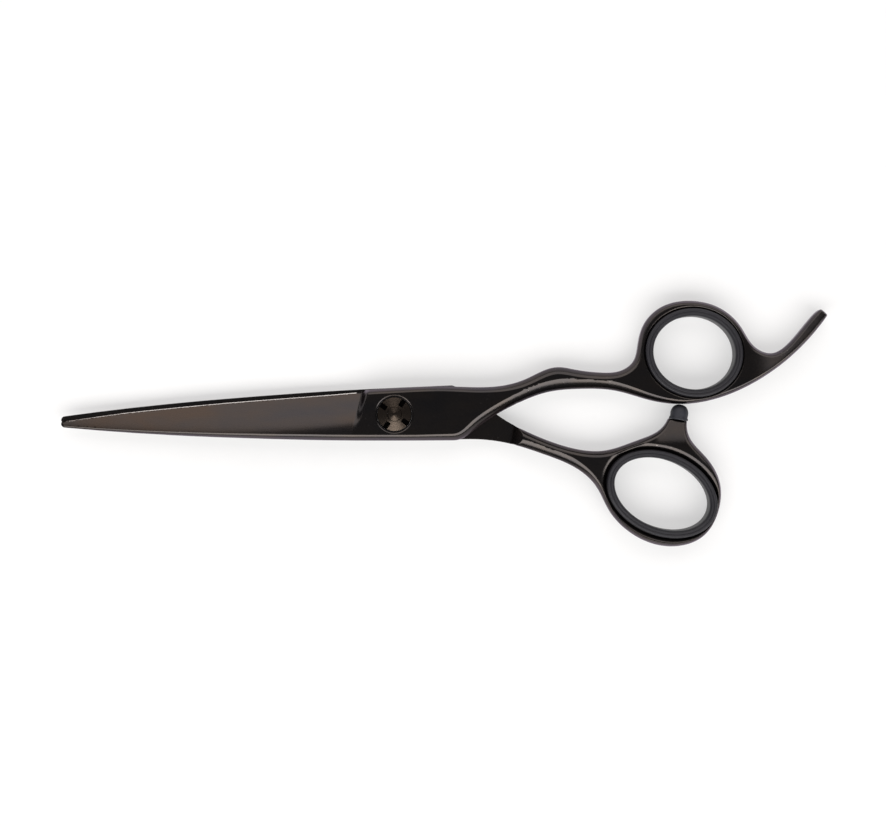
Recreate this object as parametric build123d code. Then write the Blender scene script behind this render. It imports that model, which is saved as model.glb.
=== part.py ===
from build123d import *
from math import cos, radians, sin
import os

# Hair cutting shears, closed. Millimetres. The pivot axis is +Z through the origin, the blades point
# along -X, the handles along +X, the finger ring is on the +Y side and z = 0 is the rest plane.

# Layers: the two halves are stacked and mirror each other about the parting plane.
part_z = 3.6               # parting plane between the halves
inner_gap = 0.2            # air between the two flat inner faces
plate = 3.3                # thickness of each half at the pivot
handle_t = 5.6             # thickness of the arms and rings
insert_t = 7.2             # thickness of the ring inserts, which touch the rest plane
tip_t = 1.2                # thickness of each blade at its point
edge_t = 0.35              # thickness left at the cutting edge
border_round = 0.8         # rounding of the borders

# Plan outline of one blade, from its point to its heel, measured from the blade axis.
blade_edge = [(-80.1, 0.1), (-70, 1.4), (-55, 2.7), (-40, 3.75), (-24, 4.6), (-8.4, 5.5)]
blade_spine = [(14, -6.62), (0, -6.35), (-16, -5.9), (-32, -5.15), (-48, -4.2), (-64, -2.95), (-79.5, -1.35)]
blade_point = (-80.25, -0.7)
heel = (-6.8, 6.05)
run_out_x = -9.2           # where the ground face of the blade ends

# Finger half: back of the plate, arm, ring and tang, then the underside back to the plate.
finger_back = [heel, (2, 6.3), (12, 6.42), (21, 6.0), (27, 6.4), (32, 7.85), (36, 9.65), (39.2, 10.4),
               (43.5, 9.75), (50, 8.85), (54.6, 9.2), (57.7, 11.4), (58.8, 15), (60.1, 19.6), (64.2, 24),
               (71, 25.6), (78.5, 23.8), (83.6, 19.2), (87, 14.2), (90.8, 12.55), (95.2, 14.9), (102.9, 22.8)]
finger_under = [(104.4, 21.3), (97, 13), (89, 7), (80, 2.75), (70, 0.85), (62, 1.8), (53, 4.45), (45, 5.05),
                (37, 4.45), (30, 2.1), (24.5, -0.6), (19.5, -3.9), (16.6, -6), blade_spine[0]]

# Thumb half: underside of the plate, arm and ring up to the bumper post, then the top of the arm.
thumb_under = [(heel[0], -heel[1]), (2, -6.3), (12, -6.45), (21, -6.6), (27, -7.6), (36, -10.6), (43.5, -14.1),
               (48, -18.4), (51, -24.3), (56, -29.8), (65.5, -33.3), (73.5, -31), (77.5, -24.2), (77.6, -17.8),
               (74.6, -12.1), (71.2, -8), (70.2, -3.3)]
thumb_top = [(65.8, -2.5), (63.2, -5.6), (58.5, -7.55), (50, -9.95), (42, -9), (33, -5.55), (24.6, -0.65),
             (19.5, 3.6), (blade_spine[0][0], -blade_spine[0][1])]

# Flat of each half at the pivot: beyond this radius the arm drops to its full thickness.
shoulder_r = 29.5

# Ring holes: centre, half axes and turn of the oval.
finger_hole = dict(centre=(72.15, 13.05), a=9.8, b=8.75, turn=-11)
thumb_hole = dict(centre=(63.65, -20.6), a=11.9, b=8.0, turn=-25)
insert_w = 1.9             # radial width of an insert's flange
groove = 0.7               # depth of the insert's groove, which holds the rib of the ring
rib_t = 3.0                # thickness of that rib
seat_gap = 0.12            # slack around a flange
lip_round = 0.6            # rounding of an insert's inner edges

# Pivot: stud, bush, washers and nut.
head_r = 4.8
head_t = 1.2
neck = 6.4                 # square neck that keys the stud in the thumb half
neck_top = 3.0
journal_r = 2.5
thread_r = 1.75
thread_top = 7.1
bush_r = 3.3
run_gap = 0.03             # radial running clearance of the journal and of the nut
face_gap = 0.02            # clearance between faces that slide on each other
glide_r = 5.2
glide_recess = 0.3
pocket_r = 4.45
pocket_z = 5.7             # floor of the nut's pocket
thrust_r = 4.2
thrust_t = 0.25
spring_r = 3.9
spring_hole_r = 2.1
spring_t = 0.2
spring_rise = 0.15
nut_r = 4.15
nut_top = 7.15
nut_fall = 0.38            # fall of the nut's conical top from its bore to its rim
nut_edge = 0.15            # chamfer of the nut's rim
end_fall = 0.3             # fall of the stud's conical end
slot_w = 1.2
slot_in = 2.3              # distance of a slot's inner end from the pivot axis
slot_depth = 0.68
slot_count = 4
slot_turn = 53.5           # direction of the first slot

# Rubber bumper on the thumb half's post.
bumper_r = 2.3
bumper_h = 3.68
dome_round = 1.9
stem_r = 1.0
stem_l = 3.0

low = part_z - inner_gap / 2       # inner face of the thumb half
high = part_z + inner_gap / 2      # inner face of the finger half
handle_low = part_z - handle_t / 2
handle_high = part_z + handle_t / 2
plate_top = high + plate
plate_bottom = low - plate
journal_top = pocket_z + face_gap
thrust_top = journal_top + thrust_t
nut_bottom = thrust_top + spring_t + spring_rise + face_gap


def flip(points):
    """Mirror a list of plan points about the blade axis."""
    return [(x, -y) for x, y in points]


def flip_over(shape):
    """Turn a shape over about the blade axis, from one side of the parting plane to the other."""
    return shape.rotate(Axis((0, 0, part_z), (1, 0, 0)), 180)


def prism(face, bottom, top):
    """Plan face drawn up into a solid between two heights."""
    return extrude(Plane.XY.offset(bottom) * face, top - bottom)


def disc(radius, bottom, top):
    """Upright cylinder on the pivot axis."""
    return prism(Circle(radius), bottom, top)


def turned(*section):
    """Solid of revolution about the pivot axis, from the radii and heights of its half section."""
    return revolve(Plane.XZ * make_face(Polyline(*section, close=True)), Axis.Z)


def oval(hole, grow, bottom, top):
    """Upright oval prism round a ring's centre, larger than the finger hole by grow."""
    shape = Pos(*hole["centre"]) * Rot(0, 0, hole["turn"]) * Ellipse(hole["a"] + grow, hole["b"] + grow)
    return prism(shape, bottom, top)


def finger_outline():
    edge = Spline(*blade_edge)
    back = Spline(*finger_back)
    under = Spline(*finger_under)
    spine = Spline(*blade_spine)
    point = ThreePointArc(spine @ 1, blade_point, edge @ 0)
    return make_face([edge, Line(edge @ 1, back @ 0), back, Line(back @ 1, under @ 0), under, spine,
                      point])


def thumb_outline():
    edge = Spline(*flip(blade_edge))
    under = Spline(*thumb_under)
    top = Spline(*thumb_top)
    spine = Spline(*flip(blade_spine))
    point = ThreePointArc(spine @ 1, flip([blade_point])[0], edge @ 0)
    return make_face([edge, Line(edge @ 1, under @ 0), under, Line(under @ 1, top @ 0), top, spine, point])


def side_profile():
    """Upper half's height along its length: full at the pivot, lower at the rings."""
    near, far = -85, 110
    fall_start, fall_end = 22, 44
    fall = Spline((fall_start, plate_top), (fall_end, handle_high), tangents=[(1, 0), (1, 0)])
    rest = Polyline((fall_end, handle_high), (far, handle_high), (far, handle_low), (near, handle_low),
                    (near, plate_top), (fall_start, plate_top))
    return extrude(Plane.XZ.offset(-60) * make_face([rest, fall]), 120)


def blade_section(x, y_spine, y_ridge, y_edge, z_ridge, drop):
    """Space above the upper blade at one place along it: ground face to the edge, bevel to the spine."""
    z_edge = high + edge_t
    rise = (z_ridge - z_edge) / (y_edge - y_ridge)
    fall = drop / (y_ridge - y_spine)
    beyond = 3
    above = 12
    points = [(y_edge + beyond, z_edge - beyond * rise), (y_ridge, z_ridge),
              (y_spine - beyond, z_ridge - drop - beyond * fall), (y_spine - beyond, above),
              (y_edge + beyond, above)]
    return Plane.YZ.offset(x) * make_face(Polyline(*points, close=True))


def blade_grind():
    """Space above the upper blade, from its point to the run-out, with a ridge beside the spine."""
    ridge_end = plate_top - 0.05
    return loft([blade_section(-82, -1.1, -0.8, 0.1, high + tip_t, 0.3),
                 blade_section(-56, -3.6, -2.75, 2.65, 5.6, 0.6),
                 blade_section(-32, -5.15, -3.8, 4.2, 6.35, 0.85),
                 blade_section(run_out_x, -6.15, -4.7, 5.45, ridge_end, 1)])


def hollow_section(x, y_low, y_high, depth):
    chord = Line((y_high, high), (y_low, high))
    arc = ThreePointArc((y_low, high), ((y_low + y_high) / 2, high + depth), (y_high, high))
    return Plane.YZ.offset(x) * make_face([arc, chord])


def hollow_grind():
    """Shallow hollow of the upper blade's inner face."""
    return loft([hollow_section(-78, -0.7, -0.3, 0.02), hollow_section(-45, -3.2, 2.6, 0.08),
                 hollow_section(-11, -4.6, 4.4, 0.12)])


def parting_pocket():
    """Space below the upper half's flat inner face, out to the round shoulder of its arm."""
    blade_room = Pos(-60, 0, high) * Box(120, 60, 20, align=(Align.CENTER, Align.CENTER, Align.MAX))
    return blade_room + disc(shoulder_r, high - 20, high)


def top_border(body):
    """Edges along the upper half's outline, from the blade's heel round the handle."""
    shortest = 3
    upper = [e for e in body.edges() if e.center().Z > part_z + 1 and e.center().X > heel[0]]
    return [e for e in upper if abs((e @ 0).X - (e @ 1).X) > shortest]


def under_border(body):
    """Edges round the full-thickness part of the arm and ring, on the parting side."""
    bottom = handle_low + 0.01
    return [e for e in body.edges() if (e @ 0).Z < bottom and (e @ 1).Z < bottom and e.center().X > shoulder_r]


def forged(outline):
    """Upper half before its holes: plan outline, side profile, ground blade and rounded borders."""
    body = (prism(outline, handle_low, plate_top + 1) & side_profile()) - blade_grind()
    body = fillet(top_border(body), border_round)
    body -= parting_pocket()
    body = fillet(under_border(body), border_round)
    return body - hollow_grind()


def ring_seat(hole):
    """Stepped hole of a ring: a rib at mid height between two seats for the insert's flanges."""
    flange = insert_w + seat_gap
    seat = oval(hole, insert_w - groove, -1, 10)
    seat += oval(hole, flange, -1, part_z - rib_t / 2)
    seat += oval(hole, flange, part_z + rib_t / 2, 10)
    return seat


def bumper_plane():
    """Plane of the post's end face, at its middle, looking out along the bumper."""
    a, b = thumb_under[-1], thumb_top[0]
    middle = ((a[0] + b[0]) / 2, (a[1] + b[1]) / 2, part_z)
    return Plane(origin=middle, x_dir=(0, 0, 1), z_dir=(b[1] - a[1], a[0] - b[0], 0))


def finger_half():
    body = forged(finger_outline()) - ring_seat(finger_hole)
    body -= disc(glide_r + seat_gap, high - 1, high + glide_recess)
    body -= disc(bush_r, high - 1, pocket_z + 1)
    body -= disc(pocket_r, pocket_z, plate_top + 1)
    return body


def thumb_half():
    body = flip_over(forged(thumb_outline().mirror(Plane.XZ))) - ring_seat(thumb_hole)
    body -= disc(head_r + seat_gap, -1, head_t)
    body -= prism(Rectangle(neck, neck), head_t - 1, neck_top)
    body -= disc(journal_r, neck_top - 1, low + 1)
    body -= bumper_plane() * Cylinder(stem_r, stem_l, align=(Align.CENTER, Align.CENTER, Align.MAX))
    return body


def insert(hole):
    """Ring insert: a sleeve with a flange at each end and a groove for the ring's rib between them."""
    body = oval(hole, insert_w, 0, insert_t)
    waist = oval(hole, insert_w + 1, part_z - rib_t / 2, part_z + rib_t / 2)
    body -= waist - oval(hole, insert_w - groove, 0, insert_t)
    body -= oval(hole, 0, -1, insert_t + 1)
    ends = body.edges().group_by(Axis.Z)[0] + body.edges().group_by(Axis.Z)[-1]
    return fillet(ends, lip_round)


def bumper():
    """Domed rubber stop with a stem pressed into the post."""
    head = Cylinder(bumper_r, bumper_h, align=(Align.CENTER, Align.CENTER, Align.MIN))
    head = fillet(head.edges().group_by(Axis.Z)[-1], dome_round)
    return bumper_plane() * (head + Cylinder(stem_r, stem_l, align=(Align.CENTER, Align.CENTER, Align.MAX)))


def pivot_stud():
    body = disc(head_r, 0, head_t)
    body = chamfer(body.edges().group_by(Axis.Z)[0], 0.2)
    body += prism(Rectangle(neck, neck), head_t, neck_top)
    body += disc(journal_r, neck_top, journal_top)
    return body + turned((0, journal_top), (thread_r, journal_top), (thread_r, thread_top - end_fall),
                         (0, thread_top))


def pivot_bush():
    return disc(bush_r, high + glide_recess, pocket_z) - disc(journal_r + run_gap, 0, 10)


def glide_washer():
    return disc(glide_r, low + face_gap, high + glide_recess) - disc(journal_r + run_gap, 0, 10)


def thrust_washer():
    return disc(thrust_r, journal_top, thrust_top) - disc(thread_r, 0, 10)


def spring_washer():
    """Dished spring washer: its rim rests on the thrust washer and its middle stands up to the nut."""
    return turned((spring_r, thrust_top), (spring_hole_r, thrust_top + spring_rise),
                  (spring_hole_r, thrust_top + spring_rise + spring_t), (spring_r, thrust_top + spring_t))


def tension_nut():
    bore = thread_r + run_gap
    rim = nut_top - nut_fall
    body = turned((bore, nut_bottom), (nut_r, nut_bottom), (nut_r, rim - nut_edge), (nut_r - nut_edge, rim),
                  (bore, nut_top))
    slot_l = nut_r - slot_in + 1
    slot = Pos(slot_in, 0, nut_top) * Box(slot_l, slot_w, slot_depth * 2,
                                          align=(Align.MIN, Align.CENTER, Align.CENTER))
    for k in range(slot_count):
        body -= Rot(0, 0, slot_turn + k * 360 / slot_count) * slot
    return body


nodes = {
    "finger_half": finger_half(),
    "thumb_half": thumb_half(),
    "finger_insert": insert(finger_hole),
    "thumb_insert": insert(thumb_hole),
    "bumper": bumper(),
    "pivot_stud": pivot_stud(),
    "pivot_bush": pivot_bush(),
    "glide_washer": glide_washer(),
    "thrust_washer": thrust_washer(),
    "spring_washer": spring_washer(),
    "tension_nut": tension_nut(),
}

os.makedirs("parts", exist_ok=True)
for name, solid in nodes.items():
    export_step(solid, f"parts/{name}.step")
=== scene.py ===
import math
import bpy
import numpy as np
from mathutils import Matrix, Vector
from mathutils.geometry import delaunay_2d_cdt


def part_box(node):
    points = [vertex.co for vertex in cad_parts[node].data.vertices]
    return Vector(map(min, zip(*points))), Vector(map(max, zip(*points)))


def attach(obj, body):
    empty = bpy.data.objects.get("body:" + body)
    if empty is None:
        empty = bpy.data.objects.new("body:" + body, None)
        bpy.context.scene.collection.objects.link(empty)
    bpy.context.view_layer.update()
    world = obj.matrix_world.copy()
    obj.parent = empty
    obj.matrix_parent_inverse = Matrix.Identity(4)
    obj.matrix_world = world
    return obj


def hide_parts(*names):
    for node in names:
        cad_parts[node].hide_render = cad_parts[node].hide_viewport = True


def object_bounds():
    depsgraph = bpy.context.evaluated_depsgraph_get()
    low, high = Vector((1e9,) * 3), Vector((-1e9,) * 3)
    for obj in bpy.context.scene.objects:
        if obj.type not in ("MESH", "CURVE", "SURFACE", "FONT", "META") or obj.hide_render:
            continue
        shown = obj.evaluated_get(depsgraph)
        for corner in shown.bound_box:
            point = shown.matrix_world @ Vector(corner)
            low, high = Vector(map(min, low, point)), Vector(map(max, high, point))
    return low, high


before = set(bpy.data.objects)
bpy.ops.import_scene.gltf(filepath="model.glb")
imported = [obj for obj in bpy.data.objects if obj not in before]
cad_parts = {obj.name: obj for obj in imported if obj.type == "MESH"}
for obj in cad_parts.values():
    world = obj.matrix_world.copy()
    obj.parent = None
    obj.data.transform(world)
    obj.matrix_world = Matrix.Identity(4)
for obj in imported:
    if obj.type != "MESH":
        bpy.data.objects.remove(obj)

# Hair cutting shears. The two halves, the ring inserts and the bumper get refined meshes that are worked
# out from the plan outlines of their CAD nodes. The pivot's turned pieces keep their CAD meshes.
# Shapes are worked out in millimetres and scaled to metres when a mesh is made.

MM = 0.001
cad_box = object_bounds()


def node_box(name):
    """Lowest and highest corner of a CAD node, in millimetres."""
    low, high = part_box(name)
    return np.array(low) / MM, np.array(high) / MM


# Sizes read from the frame.
finger_low, finger_high = node_box("finger_half")
insert_low, insert_high = node_box("finger_insert")
stud_high = node_box("pivot_stud")[1]
nut_high = node_box("tension_nut")[1]
glide_high = node_box("glide_washer")[1]
bush_high = node_box("pivot_bush")[1]
bumper_low, bumper_high = node_box("bumper")
part_z = (insert_low[2] + insert_high[2]) / 2  # parting plane of the halves
plate_top = finger_high[2]
handle_low = finger_low[2]
handle_high = 2 * part_z - handle_low

# Flat inner face, and where it gives way to the arm.
inner_gap = 0.2
face_z = part_z + inner_gap / 2   # flat inner face of the upper half
shoulder_r = 28.5                 # radius where the flat inner face ends
shoulder_slope = 1.05
arm_start_x = 20.0                # nearer the pivot than this is only flat face
arm_join = 0.22                   # softness of the join of arm and flat face

# Blade, in the place of the upper half.
blade_point = (-80.1, 0.15)
blade_heel = (-8.5, 5.5)
edge_z = face_z + 0.35            # height of the ground face at the cutting edge
land_start_x = -9.5               # from here the land along the spine falls to the point
land_length = 70.8
land_fall = 2.55
grind_slope = 0.30                # slope of the ground face at the point
grind_more = 0.10                 # its growth towards the heel
grind_blend = 0.8                 # softness of the line between ground face and land
run_out_x = -9.5                  # start of the wall where the grinding ends
run_out_turn = 0.29               # how far that wall leans back for each mm across
run_out_w = 2.1                   # width of that wall
honed_w = 0.22                    # bare bevel along the cutting edge
hollow_depth = 0.12               # hollow of the blade's inner face

# Borders of the halves.
second_facet = 0.42               # where the steep facet of a deep border starts
facet_bend = 0.1
deep_from = 1.15                  # drop over width above which a border is deep
deep_over = 0.4
ring_angles = (82, 73, 63, 53, 43, 34, 26, 18, 11, 5, 1.5, 0)
RING_STEPS = [1 - math.sin(math.radians(a)) for a in ring_angles] + [1.03]
FLAT_STEPS = [0.2, 0.6, 1.0, 1.4, 4.0]
flat_border = (0.1, 0.12, 1.1)    # width, drop and crease slope on the flat inner face

# Ring seats and inserts.
insert_w = 1.9                    # width of an insert's flange
seat_grow = insert_w + 0.12
rib_grow = insert_w - 0.7
rib_half = 1.5                    # half the height of the rib in a seat
SEAT_COUNT = 260
SEAT_STEPS = (0.015, 0.05, 0.1, 0.17, 0.25, 0.35, 0.48, 0.53, 0.7, 0.9, 1.1, 1.3, 1.48, 1.56)

# Pivot hole.
HOLE_COUNT = 160
LIP_STEPS = (0.1, 0.25)
nut_slot_depth = 0.68
head_top = 1.2                    # top of the stud's head, in the thumb half
neck_r = 2.6                      # hole for the stud's neck

bumper_shift = 0.22               # the bumper sits a little off the middle of its post
floor_z = -0.00002                # just under the stud's head, which stands on it


def add_object(name, data):
    """New object in the scene, made of a mesh, a camera or a light."""
    obj = bpy.data.objects.new(name, data)
    bpy.context.scene.collection.objects.link(obj)
    return obj


# ---------------------------------------------------------------- plan outlines from the frame

def node_mesh(name):
    """Vertex positions in millimetres, merged where they coincide, and triangles of a CAD node."""
    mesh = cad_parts[name].data
    mesh.calc_loop_triangles()
    positions = np.array([v.co for v in mesh.vertices]) / MM
    triangles = np.array([t.vertices for t in mesh.loop_triangles])
    merged, index = np.unique(np.round(positions, 4), axis=0, return_inverse=True)
    return merged, index.reshape(-1)[triangles]


def cut_loops(name, z):
    """Closed loops where a CAD node is cut at height z, longest first."""
    positions, triangles = node_mesh(name)
    above = positions[:, 2] > z
    links = {}
    for a, b, c in triangles:
        ends = [tuple(sorted(e)) for e in ((a, b), (b, c), (c, a)) if above[e[0]] != above[e[1]]]
        if len(ends) == 2:
            links.setdefault(ends[0], []).append(ends[1])
            links.setdefault(ends[1], []).append(ends[0])
    loops = []
    while links:
        here = min(links)
        chain = [here]
        while True:
            onward = [e for e in links.pop(here) if e in links]
            if not onward:
                break
            here = onward[0]
            chain.append(here)
        low = positions[[e[0] for e in chain]]
        high = positions[[e[1] for e in chain]]
        share = ((z - low[:, 2]) / (high[:, 2] - low[:, 2]))[:, None]
        loops.append((low + share * (high - low))[:, :2])
    return sorted(loops, key=lambda p: -np.ptp(p[:, 0]))


def wall_loop(name, z):
    """Points of a CAD node's upright outer wall, in order. They lie exactly on the part's outline. The cut
    at height z, which puts them in order, also has points in the middle of the wall's facets."""
    cut = cut_loops(name, z)[0]
    positions, triangles = node_mesh(name)
    a, b, c = (positions[triangles[:, k]] for k in range(3))
    normal = np.cross(b - a, c - a)
    upright = np.abs(normal[:, 2]) < 0.02 * np.linalg.norm(normal, axis=1)
    close = nearest(cut, positions[:, :2])[0] < 0.1
    outer = triangles[upright & close[triangles].all(1)]
    points = np.unique(np.round(positions[np.unique(outer)][:, :2], 3), axis=0)
    points = points[nearest(cut, points)[2].argsort()]
    kept = [points[0]]
    for point in points[1:]:
        if math.dist(point, kept[-1]) > 0.15:
            kept.append(point)
    return np.array(kept)


def resample(points, step, round_off):
    """Smooth closed curve through a loop's points, with even spacing and slightly rounded corners."""
    keep = np.hypot(*(points - np.roll(points, 1, axis=0)).T) > 0.02
    points = points[keep]
    if area(points) < 0:
        points = points[::-1]
    before, after = np.roll(points, 1, axis=0), np.roll(points, -1, axis=0)
    back, on = points - before, after - points
    len_back, len_on = np.hypot(*back.T), np.hypot(*on.T)
    turn = np.degrees(np.arccos(np.clip((back * on).sum(1) / (len_back * len_on), -1, 1)))
    corner = turn > 20
    slope = back / len_back[:, None] ** 2 + on / len_on[:, None] ** 2
    slope = slope / (1 / len_back + 1 / len_on)[:, None]
    leave = np.where((corner | (len_on > 4 * len_back))[:, None], on / len_on[:, None], slope)
    arrive = np.where((corner | (len_back > 4 * len_on))[:, None], back / len_back[:, None], slope)
    dense = []
    for i in range(len(points)):
        j = (i + 1) % len(points)
        t = np.linspace(0, 1, max(2, int(len_on[i] / 0.04)), endpoint=False)[:, None]
        dense.append((2 * t**3 - 3 * t**2 + 1) * points[i] + (t**3 - 2 * t**2 + t) * len_on[i] * leave[i]
                     + (3 * t**2 - 2 * t**3) * points[j] + (t**3 - t**2) * len_on[i] * arrive[j])
    dense = np.concatenate(dense)
    dense = spread(dense, 0.04)
    reach = int(3 * round_off / 0.04)
    weight = np.exp(-0.5 * (np.arange(-reach, reach + 1) * 0.04 / round_off) ** 2)
    weight /= weight.sum()
    padded = np.concatenate([dense[-reach:], dense, dense[:reach]])
    smooth = np.stack([np.convolve(padded[:, k], weight, "valid") for k in range(2)], 1)
    return spread(smooth, step)


def spread(points, step):
    """Closed polyline with its points spread evenly."""
    closed = np.concatenate([points, points[:1]])
    along = np.concatenate([[0], np.cumsum(np.hypot(*np.diff(closed, axis=0).T))])
    count = int(round(along[-1] / step))
    places = np.linspace(0, along[-1], count, endpoint=False)
    return np.stack([np.interp(places, along, closed[:, k]) for k in range(2)], 1)


def area(points):
    after = np.roll(points, -1, axis=0)
    return 0.5 * np.sum(points[:, 0] * after[:, 1] - points[:, 1] * after[:, 0])


def outward(points):
    """Unit normals of a closed loop that runs anticlockwise, pointing out of it."""
    along = np.roll(points, -1, axis=0) - np.roll(points, 1, axis=0)
    along /= np.hypot(*along.T)[:, None]
    return np.stack([along[:, 1], -along[:, 0]], 1)


def oval_of(name):
    """Centre, half axes and turn of the opening through a ring insert."""
    inner = cut_loops(name, part_z)[-1]
    x, y = (inner - inner.mean(0)).T
    terms = np.stack([x * y, y * y, x, y, np.ones_like(x)], 1)
    b, c, d, e, f = np.linalg.lstsq(terms, -x * x, rcond=None)[0]
    centre = np.linalg.solve([[2, b], [b, 2 * c]], [-d, -e])
    level = -(centre @ [[1, b / 2], [b / 2, c]] @ centre + (d * centre[0] + e * centre[1]) + f)
    values, axes = np.linalg.eigh([[1, b / 2], [b / 2, c]])
    half = np.sqrt(level / values)
    turn = math.atan2(axes[1, 0], axes[0, 0])
    return dict(centre=inner.mean(0) + centre, a=half[0], b=half[1], turn=turn)


def oval_points(oval, grow, count):
    """Points on a ring's oval with both half axes longer by grow, and their outward normals."""
    angle = np.linspace(0, 2 * math.pi, count, endpoint=False)
    a, b = oval["a"] + grow, oval["b"] + grow
    local = np.stack([a * np.cos(angle), b * np.sin(angle)], 1)
    normal = np.stack([np.cos(angle) / a, np.sin(angle) / b], 1)
    normal /= np.hypot(*normal.T)[:, None]
    c, s = math.cos(oval["turn"]), math.sin(oval["turn"])
    turn = np.array([[c, s], [-s, c]])
    return local @ turn + oval["centre"], normal @ turn


def nearest(loop, points, closed=True):
    """Distance of points to a polyline, the unit vector away from it, and the place along it in points."""
    start = loop if closed else loop[:-1]
    step = (np.roll(loop, -1, axis=0) if closed else loop[1:]) - start
    square = (step**2).sum(1)
    distance = np.empty(len(points))
    away = np.empty((len(points), 2))
    place = np.empty(len(points))
    for k in range(0, len(points), 2000):
        some = points[k:k + 2000]
        gap = some[:, None] - start
        t = np.clip((gap * step).sum(2) / square, 0, 1)
        gap -= t[:, :, None] * step
        lengths = (gap**2).sum(2)
        best = lengths.argmin(1)
        rows = np.arange(len(some))
        distance[k:k + 2000] = np.sqrt(lengths[rows, best])
        away[k:k + 2000] = gap[rows, best]
        place[k:k + 2000] = best + t[rows, best]
    away /= np.maximum(distance, 1e-9)[:, None]
    return distance, away, place


def inside(loop, points):
    """Which points lie inside a closed loop."""
    after = np.roll(loop, -1, axis=0)
    result = np.zeros(len(points), bool)
    for k in range(0, len(points), 4000):
        some = points[k:k + 4000]
        crosses = (loop[:, 1] > some[:, 1:2]) != (after[:, 1] > some[:, 1:2])
        rise = np.where(after[:, 1] == loop[:, 1], 1e-9, after[:, 1] - loop[:, 1])
        at = loop[:, 0] + (some[:, 1:2] - loop[:, 1]) * (after[:, 0] - loop[:, 0]) / rise
        result[k:k + 4000] = (crosses & (some[:, :1] < at)).sum(1) % 2 == 1
    return result


# ---------------------------------------------------------------- borders of the halves

def rounded(distance, width, drop, crease):
    """Fall below the crease, and its slope, at a distance in from a rounded edge. The section starts at the
    crease's slope and ends upright. A shallow wide edge is a quarter oval. A deep narrow one is a second,
    steeper facet with a small rounding at its end."""
    u = np.clip(1 - distance / width, 0, 0.9998)
    line = crease * width
    root = np.sqrt(1 - u * u)
    oval_fall = line * u + (drop - line) * (1 - root)
    oval_slope = (line + (drop - line) * u / root) / width
    end = 0.25 * width
    steep = np.maximum(drop - end - line, 0) / (1 - second_facet)
    bend = np.hypot(u - second_facet, facet_bend)
    end_root = np.sqrt(1 - u**6)
    facet_fall = line * u + steep * 0.5 * (u - second_facet + bend) + end * (1 - end_root)
    facet_slope = (line + steep * 0.5 * (1 + (u - second_facet) / bend) + end * 3 * u**5 / end_root) / width
    share = np.clip((drop / width - deep_from) / deep_over, 0, 1)
    fall = oval_fall + (facet_fall - oval_fall) * share
    slope = oval_slope + (facet_slope - oval_slope) * share
    start = np.clip(u / 0.03, 0, 1)
    return fall * start, slope * start


class Border:
    """Rounded border along an outline. Stations give its width, drop and crease slope at a few places, and
    the values run evenly between them along the outline."""

    def __init__(self, outline, stations):
        self.outline = outline
        table = np.array(stations, float)
        place = nearest(outline, table[:, :2])[2]
        order = place.argsort()
        place, table = place[order], table[order]
        count = len(outline)
        ends = np.concatenate([place[-1:] - count, place, place[:1] + count])
        self.values = [np.interp(np.arange(count), ends, np.concatenate([v[-1:], v, v[:1]]))
                       for v in table[:, 2:].T]

    def at(self, place):
        low = np.floor(place).astype(int)
        share = place - low
        count = len(self.outline)
        return [v[low % count] * (1 - share) + v[(low + 1) % count] * share for v in self.values]

    def fall(self, distance, place):
        """How far the surface falls below its crease, and how steeply, at a distance from the outline."""
        return rounded(distance, *self.at(place))

    def rings(self, steps):
        """Points on offsets of the outline at the given shares of the border's width."""
        width = self.values[0]
        normals = outward(self.outline)
        found = []
        for share in steps:
            ring = self.outline - normals * (width * share)[:, None]
            distance = nearest(self.outline, ring)[0]
            found.append(ring[(distance > 0.985 * width * share) & inside(self.outline, ring)])
        return np.concatenate(found)


def smooth_min(a, b, k):
    """The smaller of two values, with a soft change between them."""
    return 0.5 * (a + b - np.sqrt((a - b) ** 2 + k * k))


def soft_ramp(value, soft):
    """Zero for negative values and the value itself for positive ones, with a soft change."""
    return 0.5 * (value + np.sqrt(value * value + soft * soft))


def ease(share):
    """A share from 0 to 1 that starts and ends gently."""
    return share * share * (3 - 2 * share)


def side_fall(x):
    """Upper half's fall from the plate to the arm."""
    t = np.clip((x - 22) / 22, 0, 1)
    return (plate_top - handle_high) * (3 * t**2 - 2 * t**3)


def blade_top(x, y, from_edge):
    """Height of the blade's outer side: land along the spine, ground face and run-out at the plate."""
    back = np.clip((land_start_x - x) / land_length, 0, 1.2)
    land = plate_top - land_fall * back**2
    grind = grind_slope + grind_more * np.clip((x + 80) / 70, 0, 1) ** 1.6
    ground = smooth_min(edge_z + grind * from_edge, land, grind_blend)
    past = np.clip((x - (run_out_x + run_out_turn * y)) / run_out_w, 0, 1)
    return ground + (land - ground) * ease(past)


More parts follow.
